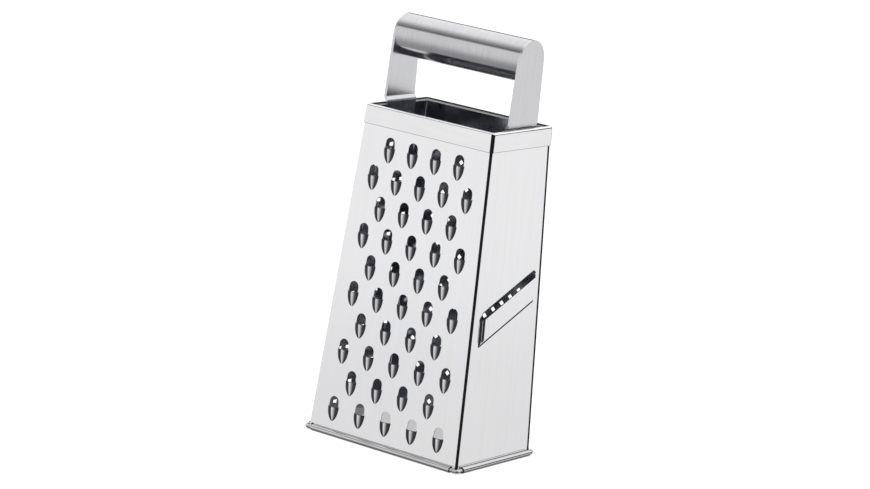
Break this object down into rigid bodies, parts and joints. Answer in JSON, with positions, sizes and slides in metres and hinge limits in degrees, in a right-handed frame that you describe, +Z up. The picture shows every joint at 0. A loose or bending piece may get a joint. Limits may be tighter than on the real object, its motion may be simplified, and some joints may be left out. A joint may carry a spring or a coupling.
{
  "type": "box grater",
  "caption": "Four-sided sheet-steel box grater with coarse, slicing, rasp and fine walls, a rim collar, wired hems and a tubular bar handle on two straps.",
  "frame": {"origin": "bottom centre, on the flats under the hems that the grater stands on", "axes": "+Z up towards the handle, +X to the right along the long front wall and along the handle bar, +Y to the back; the coarse wall faces -Y"},
  "size_m": [0.1094, 0.0788, 0.24],
  "materials": {
    "wall_steel": "polished stainless sheet",
    "collar_steel": "polished stainless sheet",
    "wire_steel": "bright drawn wire",
    "handle_steel": "satin stainless"
  },
  "bodies": {
    "root": {"front_coarse_panel": "wall_steel", "right_slicer_panel": "wall_steel", "back_rasp_panel": "wall_steel", "left_fine_panel": "wall_steel", "base_wire": "wire_steel", "top_collar": "collar_steel", "handle_bar": "handle_steel", "right_handle_strap": "handle_steel", "left_handle_strap": "handle_steel"}
  },
  "joints": []
}
